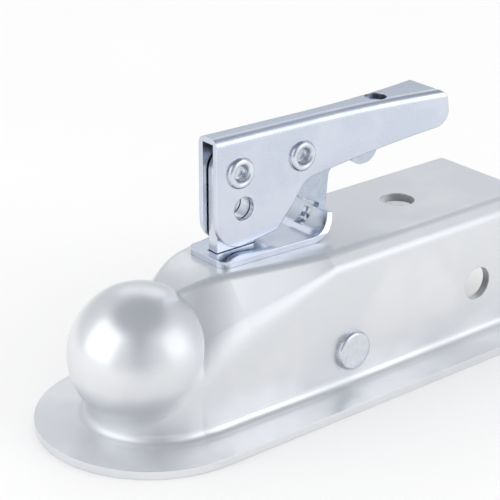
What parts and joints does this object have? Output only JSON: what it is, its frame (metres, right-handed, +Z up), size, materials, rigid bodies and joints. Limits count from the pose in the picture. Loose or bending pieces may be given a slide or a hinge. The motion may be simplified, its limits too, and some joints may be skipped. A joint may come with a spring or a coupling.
{
  "type": "trailer coupling",
  "caption": "Straight-tongue trailer coupling: zinc-plated steel ball socket and channel with a flange, a cam lever latch with a finger trigger, and a sprung ball clamp inside.",
  "frame": {"origin": "centre of the trailer ball when it is held in the socket", "axes": "+X towards the rear along the tongue, +Z up out of the ball, +Y to the right seen from the rear"},
  "size_m": [0.221, 0.092, 0.1088],
  "materials": {
    "housing_zinc": "satin",
    "latch_zinc": "bright",
    "rivet_zinc": "bright",
    "clamp_zinc": "satin",
    "bolt_zinc": "bright",
    "trigger_zinc": "bright",
    "spring_steel": "satin"
  },
  "bodies": {
    "housing": {"coupler_housing": "housing_zinc", "pivot_rivet": "rivet_zinc", "latch_plate": "latch_zinc", "spring_seat": "clamp_zinc", "clamp_spring": "spring_steel"},
    "clamp": {"ball_clamp": "clamp_zinc"},
    "draw_bolt": {"draw_bolt": "bolt_zinc", "nut_washer": "bolt_zinc", "adjusting_nut": "bolt_zinc"},
    "lever": {"lever": "latch_zinc", "lever_rivet": "rivet_zinc", "trigger_rivet": "rivet_zinc", "trigger_washer": "trigger_zinc", "trigger_spring": "spring_steel"},
    "trigger": {"trigger": "trigger_zinc"}
  },
  "joints": [
    {"name": "bolt_drop", "type": "slide", "parent": "housing", "child": "draw_bolt", "axis": [0, 0, -1], "range_m": [0, 0.0103]},
    {"name": "lever_lift", "type": "hinge", "parent": "draw_bolt", "child": "lever", "pos_m": [0.0442, 0, 0.0635], "axis": [0, -1, 0], "range_deg": [0, 90]},
    {"name": "clamp_swing", "type": "hinge", "parent": "housing", "child": "clamp", "pos_m": [0.0804, 0, -0.0122], "axis": [0, -1, 0], "range_deg": [0, 13.4], "deforming": ["clamp_spring"]},
    {"name": "trigger_squeeze", "type": "hinge", "parent": "lever", "child": "trigger", "pos_m": [0.0748, 0, 0.0633], "axis": [0, -1, 0], "range_deg": [0, 12], "stiffness_Nm_per_rad": 0.05, "springref_deg": -14.32}
  ],
  "couplings": [
    {"joint": "bolt_drop", "follows": "lever_lift", "m_per_rad": 0.0065},
    {"joint": "clamp_swing", "follows": "lever_lift", "ratio": 0.147}
  ]
}
